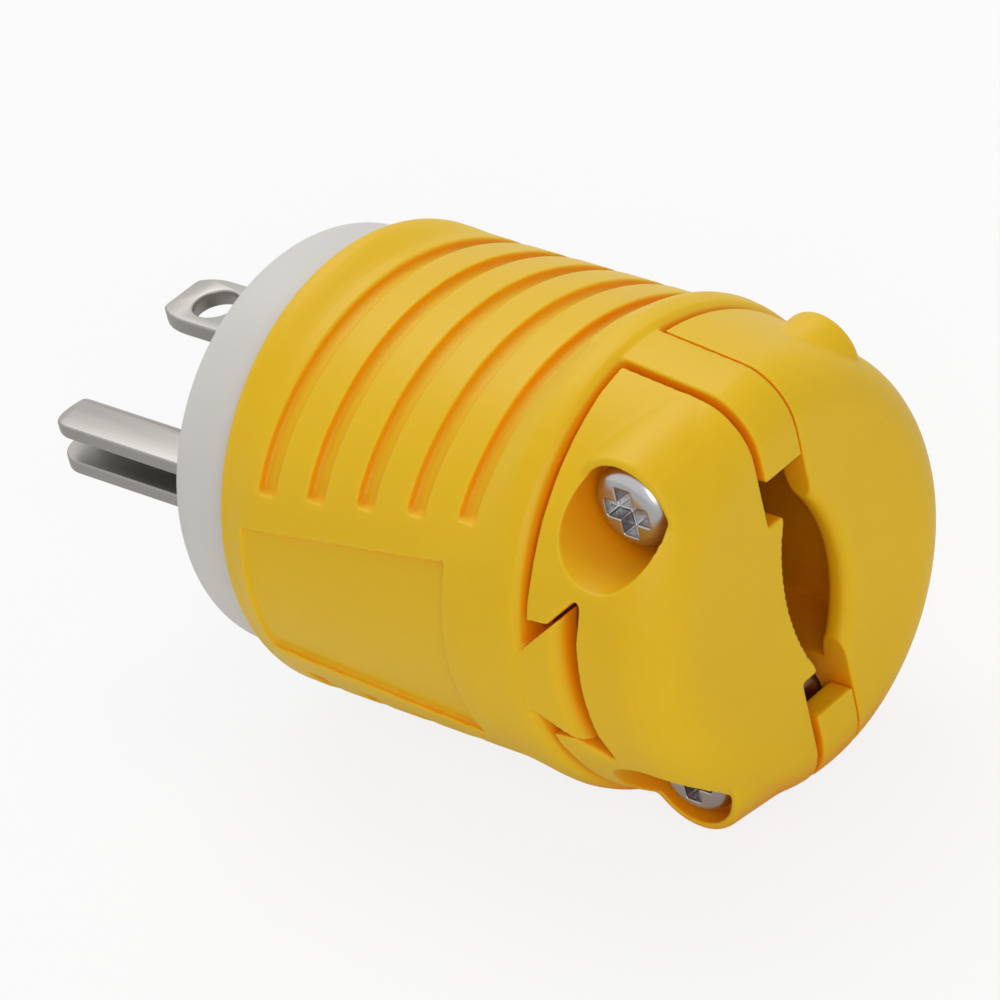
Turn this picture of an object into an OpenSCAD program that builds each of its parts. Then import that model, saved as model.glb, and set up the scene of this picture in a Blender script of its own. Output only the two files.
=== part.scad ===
// Three-prong power plug with a screw-clamp cord grip.
// +X runs from the mating face towards the cord end, +Z is up, and the origin is
// the middle of the mating face. The plug lies on its side, the cord slot upright.

/* [Prongs] */
// How far the two flat blades stand out of the face
blade_len = 17.5; // [15.9:0.1:18.2]
// Width of a flat blade
blade_w = 6.35; // [6.2:0.05:6.5]
// Thickness of a flat blade
blade_t = 1.52; // [1.4:0.01:1.65]
// Distance between the two blades' middle planes
blade_spacing = 12.7; // [12:0.1:13.4]
// Distance of the blades' line from the plug's axis
blade_line = 3.2; // [2.6:0.1:3.8]
// Radius of the hole in each blade
blade_hole_r = 2; // [1.6:0.1:2.2]
// Distance of that hole from the blade's tip
blade_hole_back = 4.6; // [4.2:0.1:6]
// Length of the rounding on the blade's tip corners
blade_tip_r = 3.6; // [2:0.1:5]
// Distance from the blades' line to the ground pin
ground_offset = 11.9; // [11.6:0.1:12.2]
// How far the ground pin stands out of the face
ground_len = 20.8; // [20:0.1:21.6]
// Width of the ground pin across its two legs
ground_w = 4.8; // [4.4:0.1:5.2]
// Depth of the ground pin from its web to the open side
ground_d = 5.4; // [4.8:0.1:6]
// Sheet thickness of the ground pin
ground_t = 1.3; // [1:0.05:1.5]

/* [Front face] */
// Radius of the white face
face_r = 17.8; // [17:0.1:18.4]
// Length of the face that stands in front of the shell
face_len = 7.4; // [6.5:0.1:9]
// Rounding of the face's front edge
face_round = 2; // [1:0.1:2.6]
// Thickness of the face plate that the prongs pass through
face_plate = 4.2; // [3.4:0.1:5]
// Radius of the spigot that goes into the shell
spigot_r = 15.4; // [15:0.1:15.6]
// Length of that spigot
spigot_len = 10; // [9.4:0.1:12]
// Wall of the spigot round the terminal pocket
spigot_wall = 2; // [1.8:0.1:2.2]
// Gap between the spigot and the shell's bore
spigot_gap = 0.25; // [0.15:0.05:0.4]

/* [Terminals] */
// Width of the blade and ground tails inside the face
tail_w = 8.2; // [7.6:0.1:8.6]
// Radius of a terminal screw's shank
terminal_r = 1.75; // [1.5:0.05:2]
// Radius of a terminal screw's head
terminal_head_r = 3.3; // [3:0.1:3.5]
// Height of a terminal screw's head
terminal_head_h = 2.2; // [1.8:0.1:2.4]
// Side of the square wire clamp plates
plate_side = 6.8; // [6.2:0.1:7.2]
// Thickness of the wire clamp plates
plate_t = 1.2; // [0.9:0.1:1.4]
// Thickness of the terminal cover
cover_t = 2; // [1.6:0.1:2.4]
// Radius of the wire holes in the terminal cover
wire_hole_r = 2.2; // [1.8:0.1:2.4]

/* [Shell] */
// Radius of the shell's round front edge
shell_r = 19.5; // [19:0.1:20]
// Length of the shell from its front edge to the collar's rear face
shell_len = 32.6; // [31.8:0.1:33.4]
// Half width of the oval grip, across the two panels
grip_half_w = 20.4; // [20:0.1:20.8]
// Half height of the oval grip, across the grooves
grip_half_h = 18.2; // [17.9:0.1:18.6]
// Length over which the round front edge turns into the oval
front_band = 4.4; // [3.6:0.1:4.6]
// Rounding of the shell's front edge
front_round = 0.8; // [0.4:0.1:1.2]

/* [Grip] */
// Number of grooves on each grip side
groove_count = 5; // [3:1:5]
// Width of a groove
groove_w = 1.8; // [1.2:0.1:2.4]
// Depth of a groove
groove_depth = 0.8; // [0.4:0.1:1.1]
// Distance from one groove to the next
groove_pitch = 5.15; // [4:0.05:5.2]
// Distance of the first groove from the shell's front edge
groove_start = 4.9; // [4.7:0.1:5.2]
// Height above the axis at which the first groove ends
groove_end_z = 8.7; // [8.2:0.1:9.6]
// Distance of the side panel from the shell's front edge
panel_start = 3.2; // [2.6:0.1:4.4]
// Length of the side panel
panel_len = 21.8; // [16:0.1:22.4]
// Half height of the side panel at its front end
panel_front_z = 5.7; // [4.5:0.1:6.2]
// Half height of the side panel at its rear end
panel_rear_z = 8.2; // [6.5:0.1:8.8]
// Depth of the side panel
panel_depth = 0.6; // [0.3:0.1:0.9]

/* [Collar and arms] */
// Radius of the round collar behind the grip
collar_r = 20.05; // [19.9:0.05:20.4]
// Length of the flare from the grip's oval to the collar's crown
flare_len = 4.1; // [3.8:0.1:4.3]
// Distance of the collar's crown from the collar's rear face
crown_back = 2; // [1.6:0.1:2.4]
// Rounding of the collar's rear lip
collar_lip_r = 1.2; // [0.8:0.1:1.4]
// Width of the two arms that reach round the cord end
arm_w = 4.35; // [4.2:0.05:4.6]
// Thickness of the arms
arm_t = 2.3; // [2:0.1:2.4]
// Height above the axis at which the arms' ends close the cord slot
arm_end_z = 11.1; // [10.6:0.1:11.6]
// Half width of the dovetail tab where it leaves the collar
tab_root_z = 3; // [2.6:0.1:3.4]
// Half width of the dovetail tab at its rear end
tab_end_z = 6; // [5.7:0.1:6.2]
// How far the dovetail tab reaches behind the collar
tab_len = 3.5; // [3.2:0.1:3.8]
// Distance of the dovetail tab's inner face from the axis
tab_in_r = 16.6; // [16.2:0.1:16.8]

/* [Cord clamp] */
// Length of the jaws along the plug
jaw_len = 12; // [11.6:0.1:12.4]
// Radius of the jaws and arms where they leave the collar
jaw_r = 19.3; // [19.1:0.05:19.5]
// Angle at which they narrow towards the cord end
jaw_taper = 6.5; // [4:0.5:8]
// Rounding of the jaws' rear edge
jaw_round = 4.8; // [4:0.1:5.2]
// Gap between the jaws and the collar in front of them
jaw_gap = 0.5; // [0.4:0.05:0.8]
// Gap between the screw-side jaw and the arms
close_gap = 0.7; // [0.6:0.05:1.2]
// Gap between the boss-side jaw and the arms
boss_jaw_gap = 0.15; // [0.1:0.05:0.3]
// Thickness of the jaws' rear wall, whose edges grip the cord
rear_wall = 2.6; // [2.2:0.1:3]
// Half height of the chamber behind that wall
chamber_z = 9; // [8:0.1:9.2]
// Half width of the chamber behind that wall
chamber_y = 8.4; // [7.8:0.1:8.5]
// Half height of the jaws' grip arcs
grip_arc_z = 6.7; // [6:0.1:7]
// Width of the lips at both ends of the screw-side grip arc
lip_w = 0.7; // [0.5:0.1:0.9]
// How far the screw-side jaw's lips stand out of its split face
lip_out = 1.7; // [1.4:0.1:1.8]
// Depth of the screw-side jaw's grip arc below its lips
screw_arc_depth = 1.4; // [1:0.1:1.8]
// Depth of the boss-side jaw's grip arc below its split face
boss_arc_depth = 1.9; // [1.4:0.1:2.2]
// Spacing of the fine grip ribs on the screw-side jaw
rib_pitch = 0.7; // [0.6:0.05:1]
// Rounding of the boss-side jaw's grip edge
grip_roll = 1.1; // [0.6:0.1:1.2]
// Half height of the blunt tips beside the notch in each jaw
tip_z = 5.4; // [5.2:0.1:5.6]
// Clearance between the dovetail tab and the notch in each jaw
notch_gap = 0.35; // [0.3:0.05:0.45]
// Distance between the tab's rear end and the notch's rear wall
notch_back = 1.55; // [1:0.05:1.8]
// How far the clamp can open from where it stands
clamp_travel = 2; // [1:0.1:2.2]
// Distance of the clamp screws behind the jaws' front edge
screw_back = 6.1; // [5.9:0.1:6.3]
// Height of the clamp screws above and below the axis
screw_z = 12.6; // [12.4:0.1:12.7]
// Radius of the screw wells
well_r = 4.2; // [4:0.1:4.3]
// Wall round the screw wells
well_wall = 0.7; // [0.6:0.1:0.8]
// How much wider the wells' walls are at their root
well_draft = 0.9; // [0.6:0.1:1.2]
// Distance of the wells' rims from the plug's axis
well_rim_y = 11.5; // [11.3:0.1:12]
// Distance of the screw seats from the plug's axis
seat_y = 9.1; // [8.9:0.1:9.4]
// Radius of the round screw bosses
boss_r = 3.6; // [3.4:0.1:3.9]
// Rounding of the bosses' ends
boss_round = 0.8; // [0.5:0.1:1.2]
// Distance of the bosses' ends from the plug's axis
boss_end_y = 13; // [12.7:0.1:13.4]

/* [Fasteners] */
// Radius of a clamp screw's shank
clamp_r = 2; // [1.8:0.05:2.1]
// Radius of a clamp screw's head
clamp_head_r = 3.6; // [3.2:0.1:3.7]
// Height of a clamp screw's head
clamp_head_h = 2.4; // [2:0.1:2.6]
// Length of a clamp screw under its head
clamp_len = 20.4; // [18:0.2:20.4]
// Gap between a clamp screw and its holes
screw_gap = 0.3; // [0.2:0.05:0.35]
// Radius of an assembly screw's shank
assembly_r = 1.5; // [1.3:0.05:1.7]
// Length of an assembly screw under its head
assembly_len = 18; // [16:0.5:20]
// Height of the assembly screws above and below the axis
assembly_z = 12.2; // [11.8:0.1:12.3]

/* [Hidden] */
$fn = 64;
// Larger than the plug, for cuts that run right through
reach = 60;
// Gap between pieces that are slipped into one another and stay
fit_gap = 0.1;
// Gap round screws and heads that pass through a piece freely
pass_gap = 0.4;
// Room beyond a screw's end in a blind hole
blind_room = 1;
// Skin that closes a blind hole
boss_skin = 1.2;
// Wall round an assembly screw's hole
boss_wall = 1.4;
// How far a terminal screw comes out of its tail
terminal_out = 2.4;
// Step in the spigot's wall that the terminal cover sits on
cover_lip = 0.9;
// Length of the arms inside the collar
arm_root = 1.6;
// Drop from the collar's crown to its rear lip
lip_drop = 0.12;
// Rounding of the dovetail tabs' rear edge
tab_roll = 1.6;
// Room under the dovetail tabs with the clamp fully open
notch_room = 0.6;
// How far two merged surfaces overlap
merge = 0.03;

shell_x = face_len;
collar_x = shell_x + shell_len;
jaw_x = collar_x + jaw_gap;
rear_x = jaw_x + jaw_len;
screw_x = jaw_x + screw_back;
blade_z = blade_spacing / 2;
ground_y = blade_line - ground_offset;
bore_r = spigot_r + spigot_gap;
pocket_r = spigot_r - spigot_wall;
cover_x = shell_x + spigot_len - cover_t;
terminal_x = (shell_x + cover_x) / 2;
assembly_y = ground_y / 3;
assembly_head_r = 2 * assembly_r;
assembly_head_h = 1.3 * assembly_r;
assembly_seat = face_plate / 2;
assembly_end = assembly_seat + assembly_len + blind_room;

// The oval has two side arcs and two flatter arcs. Their centres and the axis make
// a 3-4-5 triangle, so the arcs meet without a corner.
oval_unit = (grip_half_w - grip_half_h) / 2;
side_off = 3 * oval_unit;
flat_off = 4 * oval_unit;
grip_side_r = grip_half_w - side_off;
flat_r = grip_half_h + flat_off;
seam_angle = atan2(grip_side_r * 0.8, side_off + grip_side_r * 0.6);

assembly_boss_r = assembly_r + boss_wall;
pin_root = face_plate + 1;
tip_bevel = blade_t * 0.25;
terminal_len = plate_t + blade_t + terminal_out;
ring_depth = grip_half_w - bore_r + 2;
crown_x = collar_x - crown_back;
flare_x = crown_x - flare_len;
split_y = arm_w / 2;
notch_floor_y = sqrt(tab_in_r ^ 2 - tab_end_z ^ 2) - clamp_travel - notch_room;
screw_lip_y = split_y + close_gap - lip_out;

function arc_points(c, r, a0, a1, n = 8) =
    [for (i = [0:n]) let (a = a0 + (a1 - a0) * i / n) c + r * [cos(a), sin(a)]];

// Radius of a grip arc of some depth
function grip_r(depth) = (grip_arc_z ^ 2 + depth ^ 2) / (2 * depth);

// Distance of the oval from the axis, at an angle from the Y direction
function oval_r(a) =
    let (u = abs(cos(a)), v = abs(sin(a)))
    atan2(v, u) < seam_angle
        ? side_off * u + sqrt(grip_side_r ^ 2 - (side_off * v) ^ 2)
        : -flat_off * v + sqrt(flat_r ^ 2 - (flat_off * u) ^ 2);

function ease(t) = t <= 0 ? 0 : t >= 1 ? 1 : t * t * (3 - 2 * t);

// Turns a shape made along Z so that it lies along the plug
module along_x() {
    rotate([0, 90, 0])
        children();
}

// Solid ring whose sections are ovals. Its outline is drawn as the distance from the
// grip's oval, and the place along the plug.
module oval_turn() {
    along_x()
        for (turn = [0, 180])
            rotate(turn) {
                oval_arc([0, side_off], grip_side_r, [[4, 3], [-4, 3]])
                    children();
                oval_arc([-flat_off, 0], flat_r, [[4, -3], [4, 3]])
                    children();
            }
}

// One of the oval's four arcs: a full turn about its centre, kept between two directions
module oval_arc(centre, r, ends) {
    translate(centre)
        intersection() {
            rotate(180)
                rotate_extrude()
                    translate([r, 0])
                        children();
            linear_extrude(2 * reach)
                polygon([[0, 0], reach * ends[0], reach * ends[1]]);
        }
}

// Pan head screw along +Z, its head under the origin's plane and a cross recess in it
module pan_screw(r, len, head_r, head_h) {
    round_h = head_h * 0.6;
    slot = head_r * 0.22;
    difference() {
        union() {
            cylinder(r = r, h = len);
            rotate([180, 0, 0])
                rotate_extrude()
                    polygon(concat(
                        [[0, 0], [head_r, 0]],
                        arc_points([head_r - round_h, head_h - round_h], round_h, 0, 90),
                        [[0, head_h]]));
        }
        for (turn = [0, 90])
            rotate(turn)
                translate([-head_r * 0.6, -slot, -head_h - 1])
                    cube([head_r * 1.2, 2 * slot, head_h * 0.6 + 1]);
    }
}

module front_face() {
    color("whitesmoke")
        difference() {
            union() {
                along_x()
                    rotate_extrude()
                        polygon(concat(
                            [[0, 0], [face_r - face_round, 0]],
                            arc_points([face_r - face_round, face_round], face_round, -90, 0),
                            [[face_r, face_len], [spigot_r, face_len],
                             [spigot_r, face_len + spigot_len],
                             [pocket_r + cover_lip, face_len + spigot_len],
                             [pocket_r + cover_lip, cover_x], [pocket_r, cover_x],
                             [pocket_r, face_plate], [0, face_plate]]));
                for (side = [-1, 1])
                    translate([face_plate - 1, assembly_y, side * assembly_z])
                        along_x()
                            intersection() {
                                cylinder(r = assembly_boss_r, h = cover_x - face_plate + 1);
                                translate([side * assembly_z, -assembly_y, 0])
                                    cylinder(r = spigot_r - spigot_wall / 4, h = cover_x);
                            }
            }
            for (side = [-1, 1])
                translate([-1, blade_line - blade_w / 2 - fit_gap, side * blade_z - blade_t / 2 - fit_gap])
                    cube([face_plate + 2, blade_w + 2 * fit_gap, blade_t + 2 * fit_gap]);
            translate([-1, ground_y - ground_d / 2 - fit_gap, -ground_w / 2 - fit_gap])
                cube([face_plate + 2, ground_d + 2 * fit_gap, ground_w + 2 * fit_gap]);
            for (side = [-1, 1])
                translate([0, assembly_y, side * assembly_z])
                    along_x() {
                        translate([0, 0, -1])
                            cylinder(r = assembly_r + fit_gap, h = reach);
                        translate([0, 0, -1])
                            cylinder(r = assembly_head_r + fit_gap, h = assembly_seat + 1);
                    }
            // Driver holes beside the three terminal screws
            for (side = [-1, 1])
                translate([terminal_x, blade_line, 0])
                    rotate([side * 90 - 90, 0, 0])
                        cylinder(r = terminal_head_r + pass_gap, h = reach);
            translate([terminal_x, ground_y, 0])
                rotate([90, 0, 0])
                    cylinder(r = terminal_head_r + pass_gap, h = reach);
        }
}

module terminal_cover() {
    color("gainsboro")
        difference() {
            translate([cover_x, 0, 0])
                along_x()
                    cylinder(r = pocket_r + cover_lip - fit_gap, h = cover_t);
            for (side = [-1, 1]) {
                translate([cover_x - 1, assembly_y, side * assembly_z])
                    along_x()
                        cylinder(r = assembly_r + pass_gap, h = cover_t + 2);
                translate([cover_x - 1, blade_line, side * (blade_z + 1.2 * wire_hole_r)])
                    along_x()
                        cylinder(r = wire_hole_r, h = cover_t + 2);
            }
            translate([cover_x - 1, ground_y - wire_hole_r * 0.4, 0])
                along_x()
                    cylinder(r = wire_hole_r, h = cover_t + 2);
        }
}

// Flat blade with a rounded tip, a hole and a wider tail that carries the terminal screw
module blade(side) {
    translate([0, blade_line, side * blade_z - blade_t / 2])
        difference() {
            linear_extrude(blade_t)
                difference() {
                    union() {
                        translate([-blade_len, -blade_w / 2])
                            square([blade_len + cover_x, blade_w]);
                        translate([face_plate, -tail_w / 2])
                            square([cover_x - face_plate, tail_w]);
                    }
                    for (edge = [-1, 1])
                        translate([-blade_len, edge * blade_w / 2])
                            tip_corner(edge);
                    translate([blade_hole_back - blade_len, 0])
                        circle(r = blade_hole_r);
                    translate([terminal_x, 0])
                        circle(r = terminal_r + fit_gap);
                }
            for (face = [0, 1])
                translate([-blade_len, -blade_w, face * blade_t])
                    rotate([0, 45, 0])
                        translate([-tip_bevel, 0, -tip_bevel])
                            cube([2 * tip_bevel, 2 * blade_w, 2 * tip_bevel]);
        }
}

// What is cut away to round one corner of a blade's tip
module tip_corner(edge) {
    drop = blade_tip_r * 0.6;
    polygon(concat(
        [[-1, edge], [blade_tip_r, edge]],
        [for (i = [0:6]) let (t = i / 6) [blade_tip_r * (1 - t), -edge * drop * (1 - sqrt(1 - t * t))]],
        [[-1, -edge * drop]]));
}

module line_blade() {
    color("silver")
        blade(1);
}

module neutral_blade() {
    color("silver")
        blade(-1);
}

// U-shaped pin folded from sheet: a web towards the blades and two legs with round tips
module ground_pin() {
    leg_end = ground_d / 2;
    color("silver")
        translate([0, ground_y, 0])
            difference() {
                union() {
                    intersection() {
                        translate([-ground_len, 0, 0])
                            along_x()
                                linear_extrude(ground_len + pin_root)
                                    u_section();
                        rotate([-90, 0, 0])
                            linear_extrude(2 * ground_d, center = true)
                                pin_outline();
                        linear_extrude(2 * ground_w, center = true)
                            leg_outline(leg_end);
                    }
                    translate([face_plate, leg_end - ground_t, -tail_w / 2])
                        cube([cover_x - face_plate, ground_t, tail_w]);
                }
                translate([terminal_x, 0, 0])
                    rotate([-90, 0, 0])
                        cylinder(r = terminal_r + fit_gap, h = ground_d);
            }
}

// Section of the ground pin: sheet bent round into a U
module u_section() {
    bend = ground_w / 2;
    translate([0, ground_d / 2 - bend])
        difference() {
            union() {
                circle(r = bend);
                translate([-bend, bend - ground_d])
                    square([ground_w, ground_d - bend]);
            }
            circle(r = bend - ground_t);
            translate([ground_t - bend, -ground_d])
                square([ground_w - 2 * ground_t, ground_d]);
        }
}

// Outline of the ground pin seen along Y: its tip tapers in from both sides
module pin_outline() {
    tip = ground_w * 0.3;
    polygon([
        [-ground_len, -ground_w / 2 + tip * 0.4], [-ground_len + tip, -ground_w / 2],
        [pin_root, -ground_w / 2], [pin_root, ground_w / 2],
        [-ground_len + tip, ground_w / 2], [-ground_len, ground_w / 2 - tip * 0.4]]);
}

// Outline of the ground pin seen along Z: both legs end in a round tip
module leg_outline(leg_end) {
    union() {
        translate([-ground_len + leg_end, 0])
            circle(r = leg_end);
        translate([-ground_len + leg_end, -leg_end])
            square([ground_len - leg_end + pin_root, ground_d]);
    }
}

module terminal_screw() {
    pan_screw(terminal_r, terminal_len, terminal_head_r, terminal_head_h);
}

// Puts a screw or plate on one blade's tail, pointing at the plug's axis
module on_blade(side) {
    translate([terminal_x, blade_line, side * (blade_z + blade_t / 2 + plate_t)])
        rotate([side > 0 ? 180 : 0, 0, 0])
            children();
}

// Puts a screw or plate on the ground pin's tail, pointing at the blades
module on_ground() {
    translate([terminal_x, ground_y + ground_d / 2 - ground_t - plate_t, 0])
        rotate([-90, 0, 0])
            children();
}

module line_screw() {
    color("goldenrod")
        on_blade(1)
            terminal_screw();
}

module neutral_screw() {
    color("silver")
        on_blade(-1)
            terminal_screw();
}

module ground_screw() {
    color("seagreen")
        on_ground()
            terminal_screw();
}

// Square plate that presses a wire onto the tail, with two grooves under it
module clamp_plate() {
    groove = plate_t * 0.3;
    difference() {
        translate([-plate_side / 2, -plate_side / 2, 0])
            cube([plate_side, plate_side, plate_t]);
        translate([0, 0, -1])
            cylinder(r = terminal_r + fit_gap, h = plate_t + 2);
        for (side = [-1, 1])
            translate([-plate_side, side * plate_side * 0.36 - groove, plate_t - groove])
                cube([2 * plate_side, 2 * groove, plate_t]);
    }
}

module line_clamp_plate() {
    color("goldenrod")
        on_blade(1)
            clamp_plate();
}

module neutral_clamp_plate() {
    color("silver")
        on_blade(-1)
            clamp_plate();
}

module ground_clamp_plate() {
    color("silver")
        on_ground()
            clamp_plate();
}

// Loft between a round section and the grip's oval. Each station is a place along the
// plug, a drop below the surface there and a share of the oval.
module loft(round_r, stations) {
    around = 96;
    points = [for (s = stations) for (i = [0:around - 1])
        let (a = 360 * i / around, r = (1 - s[2]) * round_r + s[2] * oval_r(a) - s[1])
            [s[0], r * cos(a), r * sin(a)]];
    last = len(stations) - 1;
    polyhedron(points, concat(
        [[for (i = [0:around - 1]) i]],
        [for (k = [0:last - 1]) for (i = [0:around - 1])
            let (j = (i + 1) % around)
                [k * around + i, (k + 1) * around + i, (k + 1) * around + j, k * around + j]],
        [[for (i = [around - 1:-1:0]) last * around + i]]));
}

// Front of the shell: a rounded round edge that turns into the grip's oval
module shell_front() {
    band_x = shell_x + front_band;
    loft(shell_r, concat(
        [for (a = [0, 30, 60, 90])
            [shell_x + front_round * (1 - cos(a)), front_round * (1 - sin(a)), 0]],
        [for (t = [0.2:0.2:1])
            [shell_x + front_round + (front_band - front_round) * t, -merge * t, ease(t)]],
        [[band_x + 1.5, 3 * merge, 1], [band_x + 2, 1, 1]]));
}

// Collar: the grip's oval flares out to a round crown and rolls over into a rear lip
module collar() {
    loft(collar_r, concat(
        [[flare_x - 2, 1, 1], [flare_x - 1.5, 3 * merge, 1]],
        [for (t = [0:0.2:1]) [flare_x + flare_len * t, merge * (t - 1), 1 - ease(t)]],
        [for (a = [0, 30, 60, 90])
            [collar_x - collar_lip_r * (1 - sin(a)), lip_drop + collar_lip_r * (1 - cos(a)), 0]]));
}

// Profile of the clamp's dome, as distances from the axis and places along the plug:
// it narrows from one place along the plug to the cord end and rounds over there
function dome_profile(from_x) =
    let (turn_x = rear_x - jaw_round * (1 - sin(jaw_taper)),
         turn_r = jaw_r - (turn_x - jaw_x) * tan(jaw_taper),
         centre = [turn_r - jaw_round * cos(jaw_taper), rear_x - jaw_round])
    concat(
        [[jaw_r - (from_x - jaw_x) * tan(jaw_taper), from_x]],
        arc_points(centre, jaw_round, jaw_taper, 90));

// Both arms: strips of the dome that reach over the jaws and down the cord end
module arms() {
    root_x = crown_x - arm_root;
    outer = dome_profile(root_x);
    difference() {
        intersection() {
            along_x()
                rotate_extrude()
                    polygon(concat([[0, root_x]], outer, [[0, rear_x]]));
            translate([root_x, -split_y, -reach / 2])
                cube([reach, arm_w, reach]);
        }
        translate([root_x - 1, -arm_w, -arm_end_z])
            cube([reach, 2 * arm_w, 2 * arm_end_z]);
        along_x()
            rotate_extrude()
                polygon(concat(
                    [[0, root_x - 1], [outer[0][0] - arm_t, root_x - 1]],
                    [[outer[1][0] - arm_t, rear_x - arm_t], [0, rear_x - arm_t]]));
    }
}

// Outline of the dovetail tab, or of the notch that takes it, in the XZ plane
module tab_outline(gap = 0, back = 0) {
    slope = (tab_end_z - tab_root_z) / tab_len;
    front = -crown_back;
    rear = tab_len + back;
    polygon([for (p = [[front, 1], [rear, 1], [rear, -1], [front, -1]])
        [collar_x + p[0], p[1] * (tab_root_z + gap + slope * p[0])]]);
}

// Both tabs: the collar carried on to a rolled rear edge
module tabs() {
    end_x = collar_x + tab_len;
    intersection() {
        along_x()
            rotate_extrude()
                polygon(concat(
                    [[tab_in_r, crown_x], [collar_r - lip_drop, crown_x]],
                    arc_points([jaw_r - tab_roll, end_x - tab_roll], tab_roll, 10, 90),
                    [[tab_in_r, end_x]]));
        rotate([90, 0, 0])
            linear_extrude(reach, center = true)
                tab_outline();
    }
}

// Boss inside the shell for one assembly screw, tied to the wall
module assembly_boss(side) {
    boss_x = shell_x + spigot_len + spigot_gap;
    boss_len = assembly_end + boss_skin - boss_x;
    translate([boss_x, assembly_y, side * assembly_z]) {
        along_x()
            cylinder(r = assembly_boss_r, h = boss_len);
        translate([0, -assembly_boss_r * 0.7, side > 0 ? 0 : -bore_r + assembly_z - 1])
            cube([boss_len, assembly_boss_r * 1.4, bore_r - assembly_z + 1]);
    }
}

module body_shell() {
    color("gold")
        difference() {
            union() {
                difference() {
                    union() {
                        shell_front();
                        oval_turn()
                            translate([-ring_depth, shell_x + front_band])
                                square([ring_depth, flare_x - shell_x - front_band]);
                        collar();
                        tabs();
                    }
                    translate([shell_x - 1, 0, 0])
                        along_x()
                            cylinder(r = bore_r, h = shell_len + 2);
                }
                arms();
                for (side = [-1, 1])
                    assembly_boss(side);
            }
            for (side = [-1, 1]) {
                translate([shell_x, assembly_y, side * assembly_z])
                    along_x()
                        cylinder(r = assembly_r + fit_gap, h = assembly_end - shell_x);
                for (i = [0:groove_count - 1])
                    intersection() {
                        oval_turn()
                            translate([-groove_depth, shell_x + groove_start + i * groove_pitch])
                                square([groove_depth + 2, groove_w]);
                        translate([shell_x, -reach / 2, side > 0 ? groove_z(i) : -groove_z(i) - reach])
                            cube([shell_len, reach, reach]);
                    }
            }
            // Bare panels on both sides
            intersection() {
                oval_turn()
                    translate([-panel_depth, shell_x + panel_start])
                        square([panel_depth + 2, panel_len]);
                rotate([90, 0, 0])
                    linear_extrude(reach, center = true)
                        translate([shell_x + panel_start, 0])
                            polygon([
                                [0, -panel_front_z], [panel_len, -panel_rear_z],
                                [panel_len, panel_rear_z], [0, panel_front_z]]);
            }
        }
}

// Height at which a groove ends, following the slanted edge of the panel
function groove_z(i) = groove_end_z + i * groove_pitch * (panel_rear_z - panel_front_z) / panel_len;

// Half of the cord clamp on the +Y side, between the arms and the collar's rear face.
// Its grip arc starts some distance below its split face, or above it on lips.
module jaw_half(gap, lip, depth, roll) {
    arc_y = split_y + gap - lip;
    arc_r = grip_r(depth);
    difference() {
        union() {
            intersection() {
                along_x()
                    rotate_extrude()
                        polygon(concat([[0, jaw_x]], dome_profile(jaw_x), [[0, rear_x]]));
                translate([jaw_x - 1, split_y + gap, -reach / 2])
                    cube([jaw_len + 2, reach, reach]);
            }
            if (lip > 0)
                translate([rear_x - rear_wall, arc_y, -grip_arc_z - lip_w])
                    cube([rear_wall, lip + 1, 2 * (grip_arc_z + lip_w)]);
        }
        // Grip arc with rounded edges
        translate([rear_x, arc_y + depth - arc_r, 0])
            rotate([0, -90, 0])
                rotate_extrude()
                    polygon(concat(
                        [[0, -1], [arc_r + roll, -1]],
                        arc_points([arc_r + roll, roll], roll, 270, 180),
                        arc_points([arc_r + roll, rear_wall - roll], roll, 180, 90),
                        [[arc_r + roll, rear_wall + 1], [0, rear_wall + 1]]));
        // Notch that slides over the dovetail tab, between two blunt tips
        translate([0, notch_floor_y, 0])
            rotate([-90, 0, 0])
                linear_extrude(reach) {
                    tab_outline(notch_gap, notch_back);
                    translate([jaw_x - 1, -tip_z])
                        square([tab_len - jaw_gap, 2 * tip_z]);
                }
    }
}

// Chamber in front of a jaw's rear wall, cut after the screws' posts are added
module clamp_chamber() {
    translate([jaw_x - 1, 0, -chamber_z])
        cube([jaw_len - rear_wall + 1, chamber_y, 2 * chamber_z]);
}

// Runs a shape made along Z out from the plug's axis at each clamp screw, towards +Y
module at_screws() {
    for (side = [-1, 1])
        translate([screw_x, 0, side * screw_z])
            rotate([-90, 0, 0])
                children();
}

module screw_side_jaw() {
    rib_r = rib_pitch * 0.3;
    arc_r = grip_r(screw_arc_depth);
    rib_turn = 2 * asin(rib_pitch / 2 / arc_r);
    rib_count = floor(asin(grip_arc_z / arc_r) / rib_turn) - 1;
    color("gold")
        rotate([180, 0, 0])
            difference() {
                union() {
                    jaw_half(close_gap, lip_out, screw_arc_depth, rib_pitch * 0.5);
                    intersection() {
                        at_screws()
                            translate([0, 0, split_y + close_gap])
                                cylinder(
                                    r1 = well_r + well_wall + well_draft,
                                    r2 = well_r + well_wall,
                                    h = well_rim_y - split_y - close_gap);
                        translate([jaw_x, 0, -reach / 2])
                            cube([jaw_len, reach, reach]);
                    }
                }
                clamp_chamber();
                at_screws() {
                    translate([0, 0, seat_y])
                        cylinder(r = well_r, h = reach);
                    cylinder(r = clamp_r + screw_gap, h = reach);
                }
                for (i = [-rib_count:rib_count])
                    translate([jaw_x, screw_lip_y + screw_arc_depth - arc_r, 0])
                        rotate([i * rib_turn, 0, 0])
                            translate([0, arc_r, 0])
                                along_x()
                                    cylinder(r = rib_r, h = jaw_len + 1, $fn = 16);
            }
}

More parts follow.
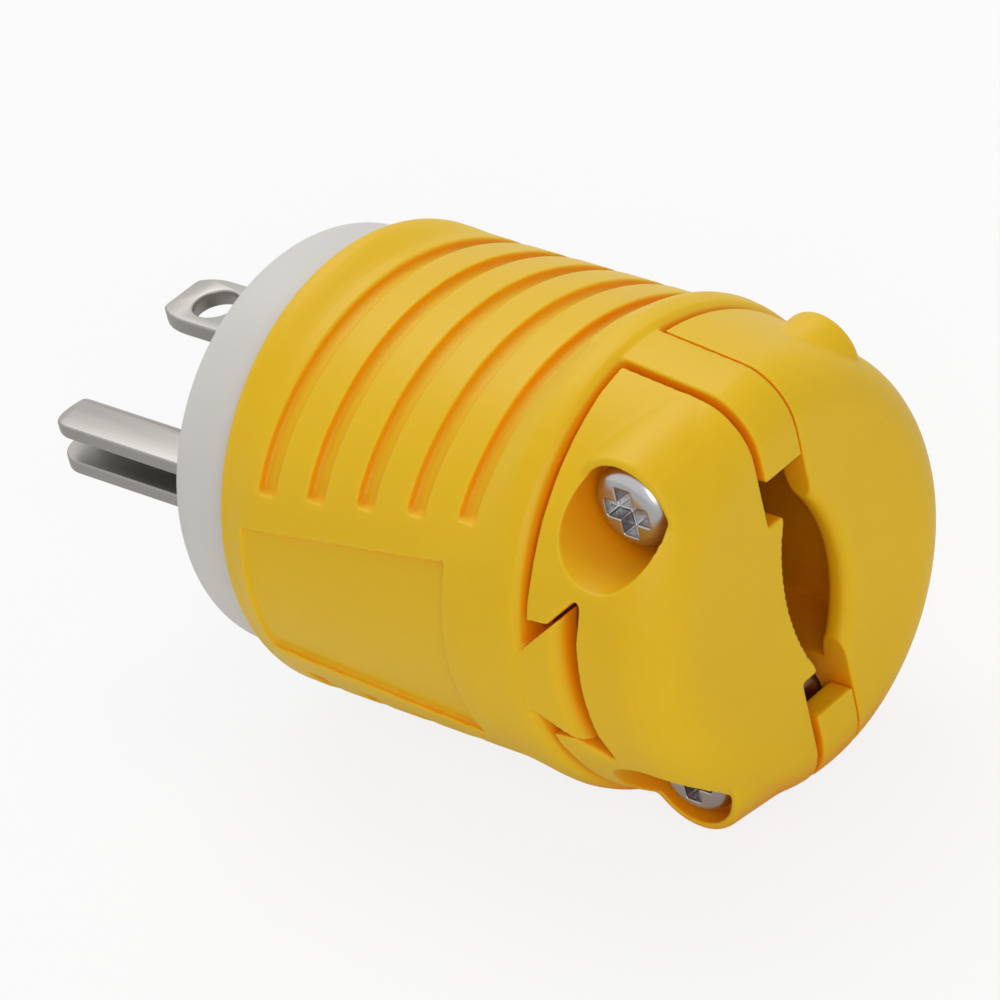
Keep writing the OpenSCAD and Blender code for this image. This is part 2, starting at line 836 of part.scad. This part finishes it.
module boss_side_jaw() {
    color("gold")
        difference() {
            union() {
                jaw_half(boss_jaw_gap, 0, boss_arc_depth, grip_roll);
                at_screws()
                    rotate_extrude()
                        polygon(concat(
                            [[0, split_y + boss_jaw_gap], [boss_r, split_y + boss_jaw_gap]],
                            arc_points([boss_r - boss_round, boss_end_y - boss_round], boss_round, 0, 90),
                            [[0, boss_end_y]]));
            }
            clamp_chamber();
            at_screws()
                cylinder(r = clamp_r + screw_gap, h = boss_end_y - boss_skin);
        }
}

module cord_clamp_screws() {
    color("lightgray")
        at_screws()
            translate([0, 0, -seat_y])
                pan_screw(clamp_r, clamp_len, clamp_head_r, clamp_head_h);
}

module assembly_screws() {
    color("lightgray")
        for (side = [-1, 1])
            translate([assembly_seat, assembly_y, side * assembly_z])
                along_x()
                    pan_screw(assembly_r, assembly_len, assembly_head_r, assembly_head_h);
}

front_face();
terminal_cover();
line_blade();
neutral_blade();
ground_pin();
line_screw();
neutral_screw();
ground_screw();
line_clamp_plate();
neutral_clamp_plate();
ground_clamp_plate();
body_shell();
screw_side_jaw();
boss_side_jaw();
cord_clamp_screws();
assembly_screws();
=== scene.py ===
from math import radians

import bpy
from mathutils import Matrix, Vector


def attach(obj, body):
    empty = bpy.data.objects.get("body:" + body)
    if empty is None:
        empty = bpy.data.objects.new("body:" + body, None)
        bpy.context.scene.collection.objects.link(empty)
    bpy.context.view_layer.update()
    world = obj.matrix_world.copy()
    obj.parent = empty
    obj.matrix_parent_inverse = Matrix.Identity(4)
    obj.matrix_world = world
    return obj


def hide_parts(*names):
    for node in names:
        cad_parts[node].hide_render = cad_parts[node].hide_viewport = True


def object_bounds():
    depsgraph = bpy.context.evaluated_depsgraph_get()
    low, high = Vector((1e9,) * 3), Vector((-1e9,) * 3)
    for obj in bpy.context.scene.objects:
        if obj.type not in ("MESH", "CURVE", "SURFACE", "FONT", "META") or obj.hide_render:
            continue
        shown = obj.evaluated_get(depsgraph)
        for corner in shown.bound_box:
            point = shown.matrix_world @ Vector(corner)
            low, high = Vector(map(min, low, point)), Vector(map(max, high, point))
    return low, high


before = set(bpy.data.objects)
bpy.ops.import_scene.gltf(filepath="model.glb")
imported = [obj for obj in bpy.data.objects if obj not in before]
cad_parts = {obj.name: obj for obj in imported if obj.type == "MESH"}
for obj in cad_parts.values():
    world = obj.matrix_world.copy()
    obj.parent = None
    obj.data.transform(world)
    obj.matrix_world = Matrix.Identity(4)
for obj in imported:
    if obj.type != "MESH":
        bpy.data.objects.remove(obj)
cad_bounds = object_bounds()


# Front face
# The white face is one nylon moulding with a rounded front edge, slots for the prongs and
# two counterbored holes. Its spigot plugs into the shell and two screws pull it home.
mm = 0.001


class Field:
    """A socket of a material's nodes. Arithmetic on it adds Math nodes."""

    def __init__(self, tree, socket=None):
        self.tree = tree
        self.socket = socket

    def add(self, kind, settings=(), inputs=(), output=0):
        """New node of that type: its settings first, then a value or a link for each socket."""
        node = self.tree.nodes.new(kind)
        for name, value in dict(settings).items():
            setattr(node, name, value)
        for name, value in dict(inputs).items():
            if isinstance(value, Field):
                self.tree.links.new(value.socket, node.inputs[name])
            else:
                node.inputs[name].default_value = value
        return Field(self.tree, node.outputs[output])

    def math(self, operation, first, second):
        return self.add("ShaderNodeMath", {"operation": operation}, {0: first, 1: second})

    def __add__(self, other):
        return self.math("ADD", self, other)

    def __sub__(self, other):
        return self.math("SUBTRACT", self, other)

    def __mul__(self, other):
        return self.math("MULTIPLY", self, other)

    def __radd__(self, other):
        return self.math("ADD", other, self)

    def __rsub__(self, other):
        return self.math("SUBTRACT", other, self)

    def __rmul__(self, other):
        return self.math("MULTIPLY", other, self)


def new_material(name):
    """Empty node material, its nodes as a Field, its shader and its Object coordinates."""
    material = bpy.data.materials.new(name)
    material.use_nodes = True
    nodes = Field(material.node_tree)
    shader = material.node_tree.nodes["Principled BSDF"]
    place = nodes.add("ShaderNodeTexCoord", output="Object")
    return material, nodes, shader, place


def noise(nodes, place, scale, detail=2.0, stretch=(1, 1, 1)):
    """Even noise from 0 to 1. Scale is in waves per metre, stretch thins it along each axis."""
    spread = nodes.add("ShaderNodeMapping", inputs={"Vector": place, "Scale": stretch})
    return nodes.add("ShaderNodeTexNoise", inputs={
        "Vector": spread, "Scale": scale, "Detail": detail})


def shade(nodes, amount, dark, light):
    """Colour between two colours by an amount from 0 to 1. The light one may be a field."""
    light = light if isinstance(light, Field) else (*light, 1)
    return nodes.add("ShaderNodeMix", {"data_type": "RGBA"},
                     {"Factor": amount, "A": (*dark, 1), "B": light}, output="Result")


def outside(nodes, place, middle, half):
    """How far a point lies outside a box, in metres, and below zero inside it."""
    away = nodes.add("ShaderNodeVectorMath", {"operation": "SUBTRACT"}, {0: place, 1: middle})
    away = nodes.add("ShaderNodeVectorMath", {"operation": "ABSOLUTE"}, {0: away})
    away = nodes.add("ShaderNodeVectorMath", {"operation": "SUBTRACT"}, {0: away, 1: half})
    x, y, z = (nodes.add("ShaderNodeSeparateXYZ", inputs={0: away}, output=axis) for axis in "XYZ")
    return nodes.math("MAXIMUM", nodes.math("MAXIMUM", x, y), z)


def feed(shader, nodes, **sockets):
    """Links fields to the shader's sockets, with spaces for underscores in their names."""
    for name, field in sockets.items():
        nodes.tree.links.new(field.socket, shader.inputs[name.replace("_", " ")])


def moulded(name, dark, light, painted_shade, gloss, depth, glow, painted_shade_box=None):
    """Moulded nylon: cloudy, with painted shade in seams and inside a box, finely grained, lit to
    a depth.
    """
    material, nodes, shader, place = new_material(name)
    clouds = noise(nodes, place, scale=90, detail=3)
    flow = noise(nodes, place, scale=420, stretch=(0.35, 1, 1))
    grain = noise(nodes, place, scale=5200, detail=1)
    painted_shade_reach = 9 * mm
    painted_shade_box_edge = 2 * mm
    # Painted shade: the colour turns to the painted shade colour in seams and recesses that
    # ambient occlusion finds, and inside the given box.
    openness_for_painted_shade = nodes.add("ShaderNodeAmbientOcclusion", {"samples": 16},
                         {"Distance": painted_shade_reach}, output="AO")
    lit = 2.0 * openness_for_painted_shade - 0.7
    if painted_shade_box:
        lit = nodes.math("MINIMUM", lit, 1 + 1 / painted_shade_box_edge * outside(nodes, place, *painted_shade_box))
    lit = nodes.add("ShaderNodeClamp", inputs={"Value": lit})
    body_colour = shade(nodes, 0.7 * clouds + 0.3 * flow, dark, light)
    feed(shader, nodes,
         Base_Color=shade(nodes, lit, painted_shade, body_colour),
         Roughness=gloss + 0.10 * flow + 0.05 * clouds,
         Normal=nodes.add("ShaderNodeBump", inputs={
             "Strength": 0.25, "Distance": 0.02 * mm, "Height": grain + 0.4 * flow}))
    shader.inputs["Subsurface Weight"].default_value = 0.5
    shader.inputs["Subsurface Radius"].default_value = glow
    shader.inputs["Subsurface Scale"].default_value = depth
    shader.inputs["Specular IOR Level"].default_value = 0.25
    return material


def select_only(piece):
    """The piece alone is selected, and is the active one."""
    bpy.ops.object.select_all(action="DESELECT")
    piece.select_set(True)
    bpy.context.view_layer.objects.active = piece


def copy_of(node):
    """New object with a node's mesh, its loose triangles joined up, selected and active."""
    piece = bpy.data.objects.new(node + "_look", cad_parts[node].data.copy())
    bpy.context.collection.objects.link(piece)
    select_only(piece)
    bpy.ops.object.mode_set(mode="EDIT")
    bpy.ops.mesh.select_all(action="SELECT")
    bpy.ops.mesh.remove_doubles(threshold=0.002 * mm)
    bpy.ops.object.mode_set(mode="OBJECT")
    return piece


def dress(piece, node, material, body="plug"):
    """The piece gets its finish and stands in for the node on its body."""
    piece.data.materials.clear()
    piece.data.materials.append(material)
    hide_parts(node)
    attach(piece, body)
    return piece


def rounded(node, material, width):
    """The node's own shape with its edges rounded evenly, as a press or a lathe leaves them."""
    piece = copy_of(node)
    bpy.ops.object.mode_set(mode="EDIT")
    bpy.ops.mesh.dissolve_limited(angle_limit=radians(0.4))
    bpy.ops.object.mode_set(mode="OBJECT")
    edges = piece.modifiers.new("Rounded edges", "BEVEL")
    edges.width = width
    edges.segments = 3
    edges.limit_method = "ANGLE"
    edges.angle_limit = radians(32)
    edges.use_clamp_overlap = False
    bpy.ops.object.modifier_apply(modifier=edges.name)
    bpy.ops.object.shade_smooth_by_angle(angle=radians(28))
    return dress(piece, node, material)


def softened(node, grain, passes):
    """The node's own shape as it leaves a mould, with every edge and inner corner soft."""
    piece = copy_of(node)
    skin = piece.modifiers.new("Even skin", "REMESH")
    skin.mode = "VOXEL"
    skin.voxel_size = grain
    bpy.ops.object.modifier_apply(modifier=skin.name)
    soft = piece.modifiers.new("Soft edges", "SMOOTH")
    soft.factor = 0.5
    soft.iterations = passes
    bpy.ops.object.modifier_apply(modifier=soft.name)
    return piece


def thinned(piece, most=180000):
    """Fewer triangles where the surface is even, and smooth shading all over."""
    lean = piece.modifiers.new("Fewer triangles", "DECIMATE")
    lean.ratio = min(1, most / (2 * len(piece.data.polygons)))
    bpy.ops.object.modifier_apply(modifier=lean.name)
    bpy.ops.object.shade_smooth()
    return piece


# The third colour is painted shade, warmer and a little darker, laid into seams and recesses.
white_nylon = moulded(
    "white_nylon", (0.70, 0.685, 0.655), (0.76, 0.745, 0.715), painted_shade=(0.74, 0.70, 0.64),
    gloss=0.40, depth=0.8 * mm, glow=(1.0, 0.95, 0.85))
face = thinned(softened("front_face", 0.25 * mm, 3))
dress(face, "front_face", white_nylon)


# Prongs
# Two flat blades and a U-shaped ground pin, stamped and folded from brass strip and nickel
# plated. The press leaves soft edges, and drawing the strip leaves faint lines along them.
def plated(name, dark, light, gloss, lines):
    """Plated metal: faint draw lines along the plug, soft clouds in its gloss, small pits."""
    material, nodes, shader, place = new_material(name)
    drawn = noise(nodes, place, scale=900, detail=3, stretch=lines)
    clouds = noise(nodes, place, scale=160, detail=3)
    pits = noise(nodes, place, scale=2600, detail=1)
    feed(shader, nodes,
         Base_Color=shade(nodes, 0.55 * clouds + 0.45 * drawn, dark, light),
         Roughness=gloss + 0.14 * drawn + 0.08 * clouds,
         Normal=nodes.add("ShaderNodeBump", inputs={
             "Strength": 0.3, "Distance": 0.01 * mm, "Height": drawn + 0.3 * pits}))
    shader.inputs["Metallic"].default_value = 1
    return material


along_prongs = (0.06, 1, 1)
prong_edge = 0.2 * mm
nickel = plated("nickel", (0.31, 0.295, 0.275), (0.41, 0.395, 0.37), 0.32, along_prongs)
for prong in ("line_blade", "neutral_blade", "ground_pin"):
    rounded(prong, nickel, prong_edge)


# Terminals
# Each tail inside the face carries a binding screw and a square plate that presses the wire.
# Brass marks the line, silver the neutral and green the ground, under a grey cover.
along_screws = (1, 1, 0.2)
terminal_edge = 0.12 * mm
brass = plated("brass", (0.60, 0.40, 0.13), (0.78, 0.57, 0.24), 0.28, along_screws)
zinc = plated("zinc", (0.40, 0.40, 0.41), (0.58, 0.58, 0.59), 0.16, along_screws)
green_metal = plated("green_metal", (0.05, 0.22, 0.09), (0.12, 0.38, 0.17), 0.3, along_screws)
# Its third colour is painted shade for seams and recesses.
grey_plastic = moulded(
    "grey_plastic", (0.40, 0.40, 0.39), (0.48, 0.48, 0.47), painted_shade=(0.42, 0.41, 0.39),
    gloss=0.42, depth=0.5 * mm, glow=(1, 1, 1))
terminal_groups = (
    ("brass", brass, ("line_screw", "line_clamp_plate")),
    ("zinc", zinc, ("neutral_screw", "neutral_clamp_plate",
                    "ground_clamp_plate", "assembly_screws")),
    ("green_metal", green_metal, ("ground_screw",)),
    ("grey_plastic", grey_plastic, ("terminal_cover",)))
for slot, finish, names in terminal_groups:
    for name in names:
        rounded(name, finish, terminal_edge)


# Shell
# One yellow nylon moulding: an oval grip with five grooves above and below, a bare panel on
# each side, a raised collar, two arms over the cord end and a dovetail tab on each side.
# The nylon gets painted orange shade in the wire space, given by the middle and the half size of a
# box.
wire_space_painted_shade_box = Vector((34, 0, 0)) * mm, Vector((18, 10.4, 11)) * mm
yellow_nylon = moulded(
    "yellow_nylon", (0.84, 0.52, 0.006), (0.90, 0.58, 0.012), painted_shade=(0.98, 0.36, 0.002),
    gloss=0.34, depth=1.2 * mm, glow=(1.0, 0.5, 0.1), painted_shade_box=wire_space_painted_shade_box)
shell = thinned(softened("body_shell", 0.16 * mm, 4))
dress(shell, "body_shell", yellow_nylon)


# Cord clamp
# Two yellow jaws close on the cord between the arms. Two zinc plated cross-recess screws go
# in from the wells of the near jaw and pull it towards the round bosses of the far one.
jaw_grain = 0.13 * mm
boss_jaw = thinned(softened("boss_side_jaw", jaw_grain, 4))
dress(boss_jaw, "boss_side_jaw", yellow_nylon)

# The wells flow into the jaw in a wide foot, which fades in and out between shares of their rim.
screw_jaw = softened("screw_side_jaw", jaw_grain, 4)
well_place = Vector((46.6, 12.6)) * mm
well_rim = 4.9 * mm
well_side = -5 * mm
foot_start, foot_end = 0.9, 1.7
fade_in, fade_out = 0.15, 0.4
foot = screw_jaw.vertex_groups.new(name="Foot of the wells")
for point in screw_jaw.data.vertices:
    out = (Vector((point.co.x, abs(point.co.z))) - well_place).length / well_rim
    if point.co.y < well_side and foot_start < out < foot_end:
        share = min(1, (out - foot_start) / fade_in, (foot_end - out) / fade_out)
        foot.add([point.index], share, "REPLACE")
flow = screw_jaw.modifiers.new("Flowing foot", "SMOOTH")
flow.factor = 0.5
flow.iterations = 90
flow.vertex_group = foot.name
bpy.ops.object.modifier_apply(modifier=flow.name)
dress(thinned(screw_jaw), "screw_side_jaw", yellow_nylon, "clamp_jaw")

clamp_screws = thinned(softened("cord_clamp_screws", 0.08 * mm, 5), most=80000)
dress(clamp_screws, "cord_clamp_screws", zinc, "clamp_jaw")


# Studio
# Pale floor, white surroundings, one large soft lamp above and behind, and another beside the
# camera that lights the clamp. The camera stands at the photograph's angle, with a long lens.
lowest, highest = (Vector(corner) for corner in cad_bounds)
bpy.ops.object.select_all(action="DESELECT")
bpy.ops.mesh.primitive_plane_add(size=6, location=(0, 0, lowest.z))
floor = bpy.context.object
floor.name = "floor"
paper, nodes, shader, place = new_material("paper")
fibres = noise(nodes, place, scale=40)
feed(shader, nodes, Base_Color=shade(nodes, fibres, (0.86, 0.86, 0.86), (0.88, 0.88, 0.88)))
shader.inputs["Roughness"].default_value = 0.9
white_share = 0.84
whitened = nodes.add("ShaderNodeMixShader", inputs={
    "Fac": white_share * nodes.add("ShaderNodeLightPath", output="Is Camera Ray"),
    1: Field(paper.node_tree, shader.outputs[0]), 2: nodes.add("ShaderNodeEmission")})
surface = paper.node_tree.nodes["Material Output"].inputs["Surface"]
paper.node_tree.links.new(whitened.socket, surface)
floor.data.materials.append(paper)

world = bpy.data.worlds.new("studio")
bpy.context.scene.world = world
world.use_nodes = True
sky = Field(world.node_tree)
rays = [sky.add("ShaderNodeLightPath", output=kind) for kind in
        ("Is Camera Ray", "Is Glossy Ray", "Is Transmission Ray")]
seen = sky.add("ShaderNodeClamp", inputs={"Value": rays[0] + rays[1] + rays[2]})
ambient = 0.38
background = world.node_tree.nodes["Background"]
background.inputs["Color"].default_value = (1, 1, 1, 1)
strength = ambient + (1 - ambient) * seen
world.node_tree.links.new(strength.socket, background.inputs["Strength"])


def lamp(name, place, size, watts):
    """Square soft lamp that looks at the middle of the plug."""
    bpy.ops.object.light_add(type="AREA", location=place)
    light = bpy.context.object
    light.name = name
    light.data.size = size
    light.data.energy = watts
    aim = (lowest + highest) / 2 - Vector(place)
    light.rotation_euler = aim.to_track_quat("-Z", "Y").to_euler()


lamp("key", (-0.28, 0.24, 0.68), size=0.55, watts=2.7)
lamp("fill", (0.66, -0.52, 0.46), size=0.5, watts=2.5)

camera_place = Vector((350.849, -288.337, 280.607)) * mm
camera_right = Vector((0.73539, 0.64669, -0.20247)).normalized()
camera_back = Vector((0.63465, -0.55253, 0.5403)).normalized()
camera_up = camera_back.cross(camera_right)
bpy.ops.object.camera_add()
camera = bpy.context.object
camera.data.sensor_width = 36
camera.data.lens = 234
camera.matrix_world = Matrix.Translation(camera_place) @ Matrix(
    (camera_right, camera_up, camera_back)).transposed().to_4x4()
bpy.context.scene.camera = camera
bpy.context.scene.view_settings.view_transform = "Standard"
